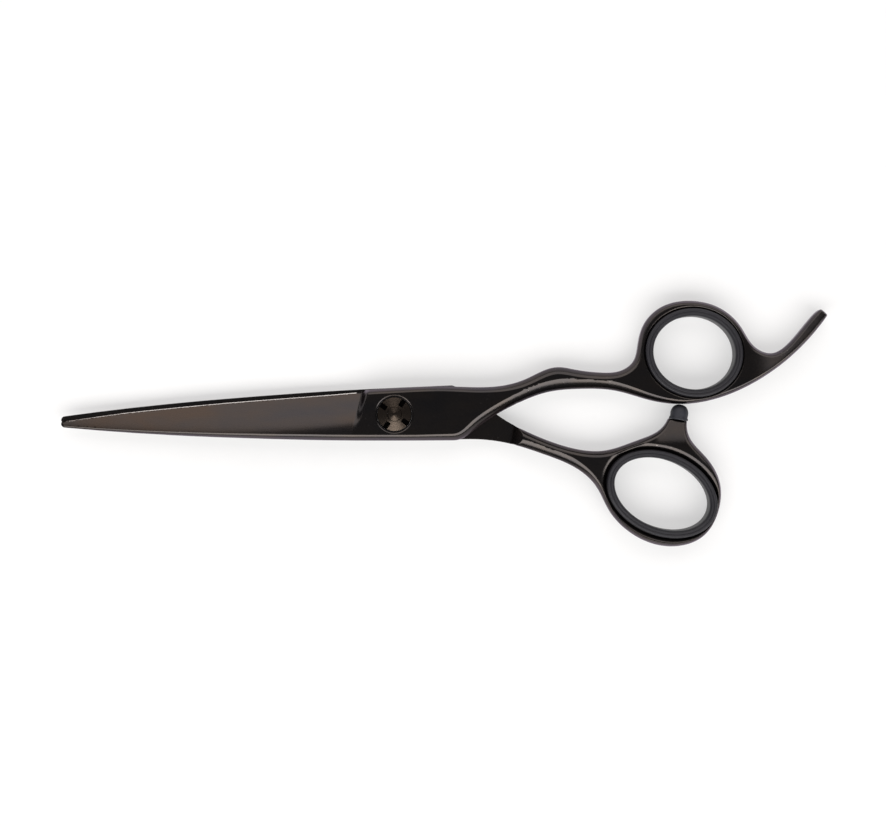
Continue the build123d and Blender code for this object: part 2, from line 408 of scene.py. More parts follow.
class Half:
    """One half of the shears in the place of the upper one, with its blade along -X. The thumb half is made
    in the same place and turned over afterwards."""

    def __init__(self, outline, oval, stations, rim, lean):
        self.outline = outline
        self.oval = oval
        self.border = Border(outline, stations)
        self.flat_border = Border(outline, [(x, y, *flat_border) for x, y, *_ in stations])
        self.seat, _ = oval_points(oval, seat_grow, SEAT_COUNT)
        ends = nearest(outline, np.array([blade_point, blade_heel]))[2].astype(int)
        self.edge_run = self.between(ends[1], ends[0])
        self.edge_line = outline[self.edge_run]
        self.rim = rim
        self.lean = lean

    def between(self, first, last):
        """Places along the outline from one point to another."""
        count = len(self.outline)
        span = (last - first) % count
        return (first + np.arange(span + 1)) % count

    def ring_fall(self, points):
        """Fall of a ring's surface towards its insert, like a border's."""
        distance, away, _ = nearest(self.seat, points)
        fall, slope = rounded(distance, *self.rim)
        return fall, slope, away

    def crown(self, points):
        """Height of the outer side without its borders."""
        x, y = points.T
        plain = plate_top - side_fall(x)
        blade = x < -3
        if blade.any():
            from_edge = nearest(self.edge_line, points[blade], closed=False)[0]
            plain[blade] = blade_top(x[blade], y[blade], from_edge)
        return plain - self.lean(self, points)

    def gradient(self, height, points):
        """Slopes of a height function along X and Y."""
        step = 0.01
        across = np.array([(step, 0), (0, step)])
        return np.stack([(height(points + s) - height(points - s)) / (2 * step) for s in across], 1)

    def top(self, points):
        """Height and gradient of the outer side."""
        distance, away, place = nearest(self.outline, points)
        fall, slope = self.border.fall(distance, place)
        dip, dip_slope, dip_away = self.ring_fall(points)
        z = self.crown(points) - fall - dip
        gradient = self.gradient(self.crown, points) + slope[:, None] * away + dip_slope[:, None] * dip_away
        return z, gradient

    def face(self, points):
        """Flat inner face, with the blade's shallow hollow and the slope at the shoulder."""
        x, y = points.T
        radius = np.hypot(x, y)
        past = radius - shoulder_r
        drop = shoulder_slope * 0.5 * (past + np.sqrt(past**2 + 0.05))
        reach = np.clip((-11 - x) / 12, 0, 1) * np.clip((x + 78) / 30, 0, 1)
        middle = -0.35
        half_w = 1.2 + 4.0 * np.clip((x + 80) / 70, 0, 1)
        hollow = hollow_depth * reach * np.clip(1 - ((y - middle) / half_w) ** 2, 0, 1)
        return face_z + hollow - np.where((radius > shoulder_r - 3) & (x > 0), drop, 0)

    def arm(self, points, distance, away, place):
        """Height and gradient of the inner side of the arm and ring."""
        def leaning(spots):
            return self.lean(self, spots)
        fall, slope = self.border.fall(distance, place)
        dip, dip_slope, dip_away = self.ring_fall(points)
        z = handle_low + fall + dip + leaning(points)
        gradient = self.gradient(leaning, points) - slope[:, None] * away - dip_slope[:, None] * dip_away
        return z, gradient

    def bottom(self, points):
        """Height and gradient of the inner side: the flat face, then the arm and ring past the shoulder."""
        distance, away, place = nearest(self.outline, points)
        fall, slope = self.flat_border.fall(distance, place)
        flat_z = self.face(points) + fall
        flat_g = self.gradient(self.face, points) - slope[:, None] * away
        arm_z, arm_g = self.arm(points, distance, away, place)
        reach = np.clip((points[:, 0] - arm_start_x) / 3, 0, 1)
        gap = arm_z - flat_z
        soft = np.sqrt(gap**2 + (arm_join * reach) ** 2) + 1e-9
        share = np.where(reach > 0, 0.5 + 0.5 * gap / soft, 0)
        z = flat_z + np.where(reach > 0, 0.5 * (gap + soft), 0)
        return z, flat_g + share[:, None] * (arm_g - flat_g)


def tang_lean(half, points):
    """Fall of the tang's outer side towards its hollow edge."""
    slope, start_x, full_run = 0.22, 83, 8
    far = points[:, 0] > start_x - 1
    fall = np.zeros(len(points))
    if far.any():
        ends = nearest(half.outline, np.array([(80, 2.75), (104.3, 21.4)]))[2].astype(int)
        line = half.outline[half.between(ends[0], ends[1])]
        across = nearest(line, points[far], closed=False)[0]
        share = ease(np.clip((points[far, 0] - start_x) / full_run, 0, 1))
        fall[far] = slope * share * soft_ramp(across - 0.75, 0.2)
    return fall


def post_lean(half, points):
    """Fall of the post's outer side towards the bumper."""
    slope, start_y = 0.225, 8.6
    x, y = points.T
    share = ease(np.clip((x - 60.5) / 3, 0, 1) * np.clip((75 - x) / 2, 0, 1))
    return slope * share * soft_ramp(start_y - y, 0.8)


def circle(radius, count=HOLE_COUNT):
    angle = np.linspace(0, 2 * math.pi, count, endpoint=False)
    return np.stack([radius * np.cos(angle), radius * np.sin(angle)], 1)


def grid(low, high, step):
    """Staggered grid of points."""
    rows = np.arange(low[1], high[1], step * 0.866)
    columns = np.arange(low[0], high[0], step)
    return np.array([(x + (j % 2) * step / 2, y) for j, y in enumerate(rows) for x in columns])


def thinned(points, cell):
    """Points with no two in one cell of a fine grid."""
    _, first = np.unique(np.round(points / cell).astype(int), axis=0, return_index=True)
    return points[np.sort(first)]


def surface(outline, holes, extra):
    """Triangles over a plan area with holes. The outline's points come first, then each hole's."""
    loops = [outline] + holes
    points = np.concatenate(loops + [extra])
    edges = []
    start = 0
    for loop in loops:
        edges += [(start + i, start + (i + 1) % len(loop)) for i in range(len(loop))]
        start += len(loop)
    verts, _, faces, orig, _, _ = delaunay_2d_cdt([Vector(p) for p in points], edges, [], 0, 1e-6)
    back = [o[0] if o else -1 for o in orig]
    if min(back) < 0:
        raise ValueError("the plan triangulation made points of its own")
    faces = np.array([[back[i] for i in f] for f in faces])
    middle = points[faces].mean(1)
    keep = inside(outline, middle)
    for hole in holes:
        keep &= ~inside(hole, middle)
    faces = faces[keep]
    a, b, c = points[faces[:, 0]], points[faces[:, 1]], points[faces[:, 2]]
    flip = np.cross(b - a, c - a) < 0
    faces[flip] = faces[flip][:, ::-1]
    return points, faces


class Builder:
    """Collects vertices and faces with a normal for each face corner."""

    def __init__(self):
        self.positions = []
        self.count = 0
        self.faces = []
        self.normals = []
        self.slots = []

    def add(self, positions):
        start = self.count
        self.positions.append(np.asarray(positions, float))
        self.count += len(positions)
        return start + np.arange(len(positions))

    def patch(self, faces, normal_of, slot=0):
        for f in faces:
            self.faces.append(tuple(int(i) for i in f))
            self.normals.append([normal_of[int(i)] for i in f])
            self.slots.append(slot)

    def band(self, lower, upper, lower_normals, upper_normals, slots=None):
        """Closed band of quads between two rings of vertices with the same count. It faces to the right of
        the rings' direction when upper is above lower."""
        n = len(lower)
        for i in range(n):
            j = (i + 1) % n
            self.faces.append((int(lower[i]), int(lower[j]), int(upper[j]), int(upper[i])))
            self.normals.append([lower_normals[i], lower_normals[j], upper_normals[j], upper_normals[i]])
            self.slots.append(0 if slots is None else int(slots[i]))

    def build(self, name, materials, place=None):
        positions = np.concatenate(self.positions)
        normals = [n for f in self.normals for n in f]
        mesh = bpy.data.meshes.new(name)
        if place is not None:
            positions = positions * place + np.array([0, 0, 2 * part_z if place[2] < 0 else 0])
            normals = [np.array(n) * place for n in normals]
        mesh.from_pydata([tuple(p * MM) for p in positions], [], self.faces)
        mesh.polygons.foreach_set("use_smooth", [True] * len(self.faces))
        mesh.polygons.foreach_set("material_index", self.slots)
        for material in materials:
            mesh.materials.append(material)
        mesh.update()
        mesh.normals_split_custom_set([tuple(n) for n in normals])
        return add_object(name, mesh)


def level(normals2d, z=0.0):
    """Plan normals as space normals."""
    return np.concatenate([normals2d, np.full((len(normals2d), 1), z)], 1)


def unit(vectors):
    return vectors / np.linalg.norm(vectors, axis=1)[:, None]


def seat_points(half):
    """Plan points on ovals round a ring's seat, closer together where its surface bends."""
    points = np.concatenate([oval_points(half.oval, seat_grow + e, SEAT_COUNT)[0] for e in SEAT_STEPS])
    points = points[inside(half.outline, points)]
    return points[nearest(half.outline, points)[0] > 0.12]


def border_points(half):
    """Plan points on the border's rings, clear of the ring's seat."""
    points = half.border.rings(RING_STEPS)
    points = points[~inside(half.seat, points)]
    return points[nearest(half.seat, points)[0] > 0.012]


def shoulder_points(half):
    """Plan points on close arcs where the flat inner face turns down to the arm."""
    arcs = np.concatenate([circle(shoulder_r + s, 1200) for s in np.arange(-0.3, 3.1, 0.1)])
    arcs = arcs[(arcs[:, 0] > arm_start_x) & inside(half.outline, arcs)]
    return arcs[nearest(half.outline, arcs)[0] > 0.16]


def past_shoulder(points, margin):
    return (np.hypot(*points.T) > shoulder_r + margin) & (points[:, 0] > 0)


def side_points(half):
    """Plan points inside the outline for the outer side and for the inner side, which has its wide borders
    only beyond the shoulder. Even grids fill the middle, finer where the surface bends."""
    low, high = half.outline.min(0), half.outline.max(0)
    spots = np.concatenate([grid(low, (24, high[1]), 0.8), grid((20, low[1]), high, 0.45),
                            grid((-11.5, -4), (-6.4, 6), 0.2), grid((-80, -6), (-11, 5), 0.5)])
    spots = spots[inside(half.outline, spots) & ~inside(half.seat, spots)]
    distance, _, place = nearest(half.outline, spots)
    clear = nearest(half.seat, spots)[0] > 0.3
    middle = spots[(distance > half.border.at(place)[0] * 1.03 + 0.1) & clear]
    flat = spots[(distance > 0.6) & clear]
    flat = flat[~past_shoulder(flat, -0.5)]
    seat = seat_points(half)
    border = border_points(half)
    small = half.flat_border.rings(FLAT_STEPS)
    small = small[~past_shoulder(small, 0.8)]
    arm = border[past_shoulder(border, -1)]
    return [border, seat, middle], [arm, small, seat, shoulder_points(half), middle, flat]


def plan(half, points, hole_r):
    """Plan triangles of one side, with two rings of points round the pivot hole."""
    points = thinned(np.concatenate(points + [circle(hole_r + e) for e in LIP_STEPS]), 0.035)
    points = points[np.hypot(*points.T) > hole_r + 0.08]
    return surface(half.outline, [half.seat, circle(hole_r)], points)


def add_outer_side(build, half, points, faces):
    """Adds the outer side and returns its vertices: the outline's, the seat's, the hole's and the rest."""
    z, gradient = half.top(points)
    normals = unit(np.concatenate([-gradient, np.ones((len(z), 1))], 1))
    rim, seat_end = len(half.outline), len(half.outline) + len(half.seat)
    normals[:rim] = level(outward(half.outline))
    normals[rim:seat_end] = level(-outward(half.seat))
    ids = build.add(np.concatenate([points, z[:, None]], 1))
    slots = face_slots(half, points, faces)
    for slot in (0, 1, 2):
        build.patch(ids[faces[slots == slot]], dict(zip(ids, normals)), slot)
    return ids


def add_inner_side(build, half, points, faces):
    """Adds the inner side and returns its vertices in the same order."""
    z, gradient = half.bottom(points)
    normals = unit(np.concatenate([gradient, -np.ones((len(z), 1))], 1))
    rim, seat_end = len(half.outline), len(half.outline) + len(half.seat)
    arm_rim = np.hypot(*half.outline.T) > shoulder_r + 0.6
    normals[:rim][arm_rim] = level(outward(half.outline))[arm_rim]
    normals[rim:seat_end] = level(-outward(half.seat))
    ids = build.add(np.concatenate([points, z[:, None]], 1))
    build.patch(ids[faces[:, ::-1]], dict(zip(ids, normals)))
    return ids


def add_seat_wall(build, half, top_ring, low_ring):
    """Wall of the ring's seat, with the rib at mid height."""
    count = len(half.seat)
    rib, rib_normal = oval_points(half.oval, rib_grow, count)
    wall = level(-outward(half.seat))
    rib_wall = level(-rib_normal)
    up, down = np.tile([0, 0, 1.0], (count, 1)), np.tile([0, 0, -1.0], (count, 1))
    seat_a = build.add(np.c_[half.seat, np.full(count, part_z + rib_half)])
    rib_a = build.add(np.c_[rib, np.full(count, part_z + rib_half)])
    rib_b = build.add(np.c_[rib, np.full(count, part_z - rib_half)])
    seat_b = build.add(np.c_[half.seat, np.full(count, part_z - rib_half)])
    build.band(top_ring, seat_a, wall, wall)
    build.band(seat_a, rib_a, up, up)
    build.band(rib_a, rib_b, rib_wall, rib_wall)
    build.band(rib_b, seat_b, down, down)
    build.band(seat_b, low_ring, wall, wall)


def add_pivot_hole(build, path, top_ring, low_ring):
    """Wall of the pivot hole along a path of (radius, height), from the outer side to the inner side."""
    rings = [top_ring]
    for radius, height in path[1:-1]:
        rings.append(build.add(np.c_[circle(radius), np.full(HOLE_COUNT, height)]))
    rings.append(low_ring)
    direction = circle(1)
    for k, (first, second) in enumerate(zip(path, path[1:])):
        slope = np.array([second[1] - first[1], first[0] - second[0]])
        slope = slope / np.hypot(*slope)
        wall = np.c_[direction * slope[0], np.full(HOLE_COUNT, slope[1])]
        build.band(rings[k], rings[k + 1], wall, wall)


def half_mesh(name, half, top_profile, bottom_profile, materials, turn_over):
    """Refined mesh of one half. The profiles are lists of (radius, height) down into the pivot hole from
    the outer and inner side, and their last radii are equal."""
    outer, inner = side_points(half)
    build = Builder()
    top_ids = add_outer_side(build, half, *plan(half, outer, top_profile[0][0]))
    low_ids = add_inner_side(build, half, *plan(half, inner, bottom_profile[0][0]))

    rim, seat_end = len(half.outline), len(half.outline) + len(half.seat)
    side = level(outward(half.outline))
    edge_slots = np.zeros(rim, int)
    edge_slots[half.edge_run[3:-3]] = 1
    build.band(low_ids[:rim], top_ids[:rim], side, side, edge_slots)
    add_seat_wall(build, half, top_ids[rim:seat_end], low_ids[rim:seat_end])
    hole = slice(seat_end, seat_end + HOLE_COUNT)
    add_pivot_hole(build, top_profile + bottom_profile[::-1], top_ids[hole], low_ids[hole])
    place = np.array([1, -1, -1]) if turn_over else None
    return build.build(name, materials, place)


def face_slots(half, points, faces):
    """1 for the faces of the bare bevel along the cutting edge, 2 for the ground side, 0 for the rest."""
    middle = points[faces].mean(1)
    ground_end = -9.3 + 0.21 * middle[:, 1]
    distance, _, place = nearest(half.outline, middle)
    ground = (middle[:, 0] < ground_end) & (distance > half.border.at(place)[0])
    slots = np.where(ground, 2, 0)
    distance, _, place = nearest(half.edge_line, middle, closed=False)
    last = len(half.edge_line) - 1.01
    slots[(distance < honed_w * 0.99) & (place > 2) & (place < last - 2)] = 1
    return slots


# ---------------------------------------------------------------- materials

def node_tree(name, metallic=0.0):
    """New material with its node tree and shader."""
    material = bpy.data.materials.new(name)
    material.use_nodes = True
    tree = material.node_tree
    shader = tree.nodes["Principled BSDF"]
    shader.inputs["Metallic"].default_value = metallic
    return material, tree, shader


def add_node(tree, kind, **values):
    """New node with its inputs and settings given by name."""
    node = tree.nodes.new(kind)
    for key, value in values.items():
        if key in node.inputs:
            node.inputs[key].default_value = value
        else:
            setattr(node, key, value)
    return node


def coordinates(tree, scale=(1, 1, 1)):
    place = add_node(tree, "ShaderNodeTexCoord")
    mapping = add_node(tree, "ShaderNodeMapping")
    mapping.inputs["Scale"].default_value = scale
    tree.links.new(place.outputs["Object"], mapping.inputs["Vector"])
    return mapping.outputs["Vector"]


def noise(tree, vector, scale, detail=4.0, rough=0.55):
    texture = add_node(tree, "ShaderNodeTexNoise")
    texture.inputs["Scale"].default_value = scale
    texture.inputs["Detail"].default_value = detail
    texture.inputs["Roughness"].default_value = rough
    tree.links.new(vector, texture.inputs["Vector"])
    return texture.outputs["Fac"]


def ramp(tree, factor, stops):
    node = add_node(tree, "ShaderNodeValToRGB")
    elements = node.color_ramp.elements
    while len(elements) < len(stops):
        elements.new(0.5)
    for element, (position, colour) in zip(elements, stops):
        element.position = position
        element.color = (*colour, 1)
    tree.links.new(factor, node.inputs["Fac"])
    return node.outputs["Color"]


def blended(tree, factor, first, second):
    """Colour that goes from the first, a socket, to the second, a constant, as the factor rises."""
    node = add_node(tree, "ShaderNodeMix", data_type="RGBA")
    tree.links.new(factor, node.inputs["Factor"])
    tree.links.new(first, node.inputs["A"])
    node.inputs["B"].default_value = (*second, 1)
    return node.outputs["Result"]


def paint(tree, shader, factor, stops):
    """Base colour that follows a factor."""
    tree.links.new(ramp(tree, factor, stops), shader.inputs["Base Color"])


def roughen(tree, shader, factor, low, high):
    """Roughness that runs from low to high with a factor."""
    node = add_node(tree, "ShaderNodeMapRange")
    node.inputs["To Min"].default_value = low
    node.inputs["To Max"].default_value = high
    tree.links.new(factor, node.inputs["Value"])
    tree.links.new(node.outputs["Result"], shader.inputs["Roughness"])


def bump(tree, shader, height, strength, depth):
    node = add_node(tree, "ShaderNodeBump")
    node.inputs["Strength"].default_value = strength
    node.inputs["Distance"].default_value = depth
    tree.links.new(height, node.inputs["Height"])
    tree.links.new(node.outputs["Normal"], shader.inputs["Normal"])


def coated_steel():
    """Black vapour-deposited coating on satin steel: slightly patchy, with a fine grain, a purple edge tint
    and a few bare specks."""
    material, tree, shader = node_tree("coated_steel", metallic=1.0)
    shader.inputs["Specular Tint"].default_value = (0.86, 0.80, 0.88, 1)
    patches = noise(tree, coordinates(tree, (1, 2.2, 1)), 130, 3, 0.5)
    colour = ramp(tree, patches, [(0.30, (0.040, 0.0375, 0.0385)), (0.52, (0.047, 0.0420, 0.0400)),
                                  (0.72, (0.051, 0.0440, 0.0400))])
    dots = noise(tree, coordinates(tree), 2500, 2, 0.5)
    specks = ramp(tree, dots, [(0.755, (0, 0, 0)), (0.78, (1, 1, 1))])
    tree.links.new(blended(tree, specks, colour, (0.34, 0.31, 0.29)), shader.inputs["Base Color"])
    grain = noise(tree, coordinates(tree), 5200, 3, 0.65)
    roughen(tree, shader, grain, 0.15, 0.29)
    bump(tree, shader, grain, 0.14, 0.00001)
    return material


def ground_steel():
    """The same coating over the ground side of the blade: warmer, with cloudy heat colours and fine
    grinding lines along the blade."""
    material, tree, shader = node_tree("ground_steel", metallic=1.0)
    shader.inputs["Specular Tint"].default_value = (0.86, 0.80, 0.88, 1)
    clouds = noise(tree, coordinates(tree, (0.45, 1.3, 1)), 90, 3, 0.5)
    paint(tree, shader, clouds, [(0.26, (0.041, 0.039, 0.042)), (0.46, (0.050, 0.0425, 0.0395)),
                                 (0.62, (0.058, 0.0435, 0.0355)), (0.82, (0.052, 0.0450, 0.0425))])
    lines = noise(tree, coordinates(tree, (0.04, 1, 1)), 6500, 3, 0.6)
    roughen(tree, shader, lines, 0.19, 0.33)
    bump(tree, shader, lines, 0.25, 0.00001)
    return material


def honed_steel():
    """Bare steel of the cutting bevel, with honing lines across it."""
    material, tree, shader = node_tree("honed_steel", metallic=1.0)
    lines = noise(tree, coordinates(tree, (1, 0.05, 0.05)), 12000, 2, 0.6)
    paint(tree, shader, lines, [(0.22, (0.50, 0.44, 0.40)), (0.40, (0.92, 0.86, 0.82)),
                                (0.70, (0.97, 0.93, 0.90))])
    roughen(tree, shader, lines, 0.16, 0.36)
    bump(tree, shader, lines, 0.2, 0.00001)
    return material


def turned_steel(name, ring_depth, shade_height):
    """Black coated steel with fine turned rings about the pivot axis. Below a height given in millimetres,
    the floor of the nut's slots, the colour is painted near-black shade standing in for the shadow deep in
    the slots."""
    material, tree, shader = node_tree(name, metallic=1.0)
    place = add_node(tree, "ShaderNodeTexCoord")
    radius = add_node(tree, "ShaderNodeVectorMath", operation="LENGTH")
    flat = add_node(tree, "ShaderNodeVectorMath", operation="MULTIPLY")
    flat.inputs[1].default_value = (1, 1, 0)
    tree.links.new(place.outputs["Object"], flat.inputs[0])
    tree.links.new(flat.outputs["Vector"], radius.inputs[0])
    join = add_node(tree, "ShaderNodeCombineXYZ")
    tree.links.new(radius.outputs["Value"], join.inputs["X"])
    rings = noise(tree, join.outputs["Vector"], 26000, 2, 0.7)
    colour = ramp(tree, rings, [(0.25, (0.064, 0.050, 0.040)), (0.75, (0.090, 0.071, 0.056))])
    height = add_node(tree, "ShaderNodeSeparateXYZ")
    tree.links.new(place.outputs["Object"], height.inputs["Vector"])
    # Painted shade: the colour turns near black below the slots' floor height, for the shadow inside the
    # deep slots.
    depth = add_node(tree, "ShaderNodeMapRange")
    depth.inputs["From Min"].default_value = (shade_height + 0.08) * MM
    depth.inputs["From Max"].default_value = (shade_height + 0.02) * MM
    tree.links.new(height.outputs["Z"], depth.inputs["Value"])
    slot_shade_colour = blended(tree, depth.outputs["Result"], colour, (0.008, 0.007, 0.007))
    tree.links.new(slot_shade_colour, shader.inputs["Base Color"])
    roughen(tree, shader, rings, 0.12, 0.24)
    shader.inputs["Anisotropic"].default_value = 0.2
    tangent = add_node(tree, "ShaderNodeTangent", direction_type="RADIAL", axis="Z")
    tree.links.new(tangent.outputs["Tangent"], shader.inputs["Tangent"])
    bump(tree, shader, rings, ring_depth, 0.00002)
    return material


def rubber(name, dark, light, roughness, grain_scale):
    """Moulded rubber with a fine matt grain and faint handling marks."""
    material, tree, shader = node_tree(name)
    grain = noise(tree, coordinates(tree), grain_scale, 4, 0.65)
    wear = noise(tree, coordinates(tree), 220, 3, 0.6)
    paint(tree, shader, wear, [(0.3, dark), (0.7, light)])
    roughen(tree, shader, grain, roughness - 0.08, roughness + 0.1)
    shader.inputs["Specular IOR Level"].default_value = 0.35
    bump(tree, shader, grain, 0.25, 0.00003)
    return material


def spring_steel():
    """Bright rolled steel with faint lines."""
    material, tree, shader = node_tree("spring_steel", metallic=1.0)
    lines = noise(tree, coordinates(tree, (1, 0.1, 1)), 6000, 3, 0.6)
    paint(tree, shader, lines, [(0.3, (0.40, 0.39, 0.38)), (0.7, (0.52, 0.51, 0.50))])
    roughen(tree, shader, lines, 0.22, 0.38)
    bump(tree, shader, lines, 0.2, 0.00001)
    return material


def bearing_plastic():
    """Off-white bearing plastic with a fine grain."""
    material, tree, shader = node_tree("bearing_plastic")
    grain = noise(tree, coordinates(tree), 3000, 3, 0.6)
    paint(tree, shader, grain, [(0.3, (0.80, 0.79, 0.75)), (0.7, (0.88, 0.87, 0.83))])
    roughen(tree, shader, grain, 0.40, 0.55)
    bump(tree, shader, grain, 0.2, 0.00002)
    return material


def floor_paper():
    """Pale paper. It glows faintly, so that shadows on it stay light."""
    material, tree, shader = node_tree("floor_paper")
    grain = noise(tree, coordinates(tree), 40, 4, 0.6)
    paint(tree, shader, grain, [(0.3, (0.37, 0.37, 0.37)), (0.7, (0.39, 0.39, 0.39))])
    shader.inputs["Roughness"].default_value = 0.9
    shader.inputs["Specular IOR Level"].default_value = 0.1
    shader.inputs["Emission Color"].default_value = (1, 1, 1, 1)
    shader.inputs["Emission Strength"].default_value = 0.47
    return material


# ---------------------------------------------------------------- pieces

coated = coated_steel()
honed = honed_steel()
ground = ground_steel()


def dress(name, material):
    """Gives a CAD node a material of this scene."""
    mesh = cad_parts[name].data
    mesh.materials.clear()
    mesh.materials.append(material)


# Border stations: x, y near the outline, then width, drop and slope of the crease.
blade_stations = [
    (-80.1, 0.3, 0.22, 0.25, 1.08), (-70, 1.4, 0.22, 0.25, 1.08), (-8.9, 5.5, 0.22, 0.25, 1.08),
    (-8.0, 5.65, 0.6, 0.9, 0.4), (-6.6, 6.1, 1.15, 1.9, 0.33), (5, -6.45, 1.4, 2.3, 0.34),
    (-20, -5.75, 1.4, 2.3, 0.34), (-50, -4.1, 1.0, 1.7, 0.34), (-70, -2.4, 0.6, 0.9, 0.34),
    (-79.5, -1.3, 0.4, 0.5, 0.34),
]
finger_stations = blade_stations + [
    (12, 6.42, 1.2, 2.0, 0.3), (24, 6.1, 1.35, 2.1, 0.3), (30, 7.2, 1.6, 2.2, 0.3),
    (40, 10.4, 1.75, 2.4, 0.28), (50, 8.85, 1.6, 2.3, 0.28), (57.7, 11.4, 1.4, 2.1, 0.2),
    (60.1, 19.6, 1.2, 1.9, 0.1), (71, 25.6, 1.15, 1.9, 0.1), (83.6, 19.2, 1.25, 2.0, 0.1),
    (90.8, 12.5, 1.1, 1.9, 0.1), (96, 15.7, 0.85, 1.4, 0.1), (101.5, 21.4, 0.75, 1.2, 0.1),
    (103.8, 22.2, 0.4, 0.6, 0.1), (103.3, 20.0, 0.7, 1.2, 0.3), (97, 13, 0.75, 1.4, 0.3),
    (89, 7, 0.9, 1.7, 0.35), (80, 2.75, 0.95, 1.6, 0.4), (70, 0.85, 0.85, 1.5, 0.4),
    (62, 1.8, 1.5, 1.9, 0.35), (54, 4.1, 2.0, 2.2, 0.33), (49, 4.95, 2.3, 2.4, 0.33),
    (40, 4.8, 2.68, 2.5, 0.33), (30, 2.1, 2.25, 2.5, 0.33), (20, -3.6, 2.05, 2.6, 0.33),
    (14, -6.62, 1.6, 2.4, 0.33),
]
thumb_stations = blade_stations + [
    (12, 6.45, 1.2, 2.0, 0.3), (21, 6.6, 1.6, 1.6, 0.28), (28, 7.9, 1.8, 1.55, 0.27),
    (36, 10.6, 1.9, 1.6, 0.27), (42, 13.2, 1.85, 1.7, 0.26), (48, 18.4, 1.2, 2.1, 0.2),
    (51, 24.3, 1.0, 1.8, 0.06), (56, 29.8, 1.0, 1.8, 0.06), (65.5, 33.3, 1.1, 1.9, 0.08),
    (73.5, 31, 1.1, 1.8, 0.1), (77.5, 24.2, 0.9, 1.6, 0.1), (77.6, 17.8, 0.9, 1.6, 0.1),
    (74.6, 12.1, 1.5, 2.0, 0.15), (71.2, 8, 1.4, 2.1, 0.2), (70.3, 3.6, 0.7, 0.9, 0.2),
    (65.8, 2.6, 0.5, 0.7, 0.2), (63.2, 5.6, 1.0, 1.4, 0.2), (58.5, 7.55, 1.3, 2.0, 0.25),
    (50, 9.95, 1.5, 2.1, 0.28), (42, 9, 1.5, 2.1, 0.16), (33, 5.55, 1.5, 2.0, 0.14),
    (24.6, 0.65, 1.6, 1.9, 0.2), (14, -6.62, 1.6, 2.2, 0.33),
]

finger_oval = oval_of("finger_insert")
thumb_oval = oval_of("thumb_insert")
flipped_oval = dict(thumb_oval, centre=thumb_oval["centre"] * [1, -1], turn=-thumb_oval["turn"])

# Outlines from cuts just off the parting plane. The thumb half's leaves out the hole for the bumper's stem.
outline_step, outline_round, cut_offset = 0.33, 0.1, 0.2
finger_wall = wall_loop("finger_half", face_z + cut_offset)
thumb_wall = wall_loop("thumb_half", 2 * part_z - face_z - cut_offset)
stem = ((thumb_wall > bumper_low[:2] + [0.5, -0.1]) & (thumb_wall < bumper_high[:2] - [0.5, 0])).all(1)
finger_outline = resample(finger_wall, outline_step, outline_round)
thumb_outline = resample(thumb_wall[~stem] * [1, -1], outline_step, outline_round)


bore_r = bush_high[0]
pocket_r = nut_high[0] + 0.3
pocket_z = bush_high[2]
finger_rim = (0.5, 0.4, 0.12)     # width, drop and crease slope at the ring's seat
thumb_rim = (1.5, 1.2, 0.15)
glide_seat = glide_high[0] + 0.12
finger = Half(finger_outline, finger_oval, finger_stations, finger_rim, tang_lean)
finger_piece = half_mesh(
    "finger_blade_and_handle", finger,
    [(pocket_r + 0.2, plate_top), (pocket_r, plate_top - 0.12), (pocket_r, pocket_z), (bore_r, pocket_z)],
    [(glide_seat, face_z), (glide_seat, glide_high[2]), (bore_r, glide_high[2])],
    [coated, honed, ground], turn_over=False)
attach(finger_piece, "finger_side")
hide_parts("finger_half")

thumb = Half(thumb_outline, flipped_oval, thumb_stations, thumb_rim, post_lean)
seat_r = stud_high[0] + 0.12
thumb_piece = half_mesh(
    "thumb_blade_and_handle", thumb,
    [(seat_r + 0.2, plate_top), (seat_r, plate_top - 0.12), (seat_r, 2 * part_z - head_top),
     (neck_r, 2 * part_z - head_top)],
    [(neck_r, face_z)],
    [coated, honed, ground], turn_over=True)
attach(thumb_piece, "thumb_side")
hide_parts("thumb_half")


def ribs(first, spacing, height):
    """Nine fine ribs across a flange's face, as distances from the hole and heights."""
    return [(first + spacing * k, height + (0.02 if k % 2 else 0)) for k in range(9)]


def rings_of_quads(rows, count, closed):
    """Quads between rows of vertices that each run round in a ring, and from the last row to the first."""
    faces = []
    for k in range(rows if closed else rows - 1):
        onward = (k + 1) % rows
        for i in range(count):
            j = (i + 1) % count
            faces.append((k * count + i, k * count + j, onward * count + j, onward * count + i))
    return faces


def ring_insert(name, oval, node, body, material):
    """Moulded ring insert: two flanges with a groove between them, and concentric ribs on their faces."""
    top = insert_high[2]
    upper = [(0.0, part_z), (0.0, top - 1.3), (0.05, top - 0.75), (0.2, top - 0.35), (0.42, top - 0.12)]
    upper += ribs(0.5, 0.045, top - 0.05)
    upper += [(0.93, top - 0.08), (0.98, top - 0.2), (1.04, top - 0.2), (1.09, top - 0.07)]
    upper += ribs(1.14, 0.05, top - 0.04)
    upper += [(1.66, top - 0.09), (1.8, top - 0.25), (1.88, top - 0.55), (insert_w, part_z + rib_half),
              (rib_grow, part_z + rib_half), (rib_grow, part_z)]
    lower = [(e, 2 * part_z - z) for e, z in upper[-2:0:-1]]
    profile = upper + lower
    count = 300
    rows = [np.c_[oval_points(oval, e, count)[0], np.full(count, z)] for e, z in profile]
    faces = rings_of_quads(len(profile), count, closed=True)
    return soft_piece(name, np.concatenate(rows), faces, node, body, material)


def soft_piece(name, positions, faces, node, body, material):
    """Smooth rubber piece that stands for a CAD node and rides on its body."""
    mesh = bpy.data.meshes.new(name)
    mesh.from_pydata([tuple(p * MM) for p in positions], [], faces)
    mesh.polygons.foreach_set("use_smooth", [True] * len(faces))
    mesh.materials.append(material)
    mesh.set_sharp_from_angle(angle=math.radians(50))
    mesh.update()
    obj = add_object(name, mesh)
    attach(obj, body)
    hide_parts(node)
    return obj


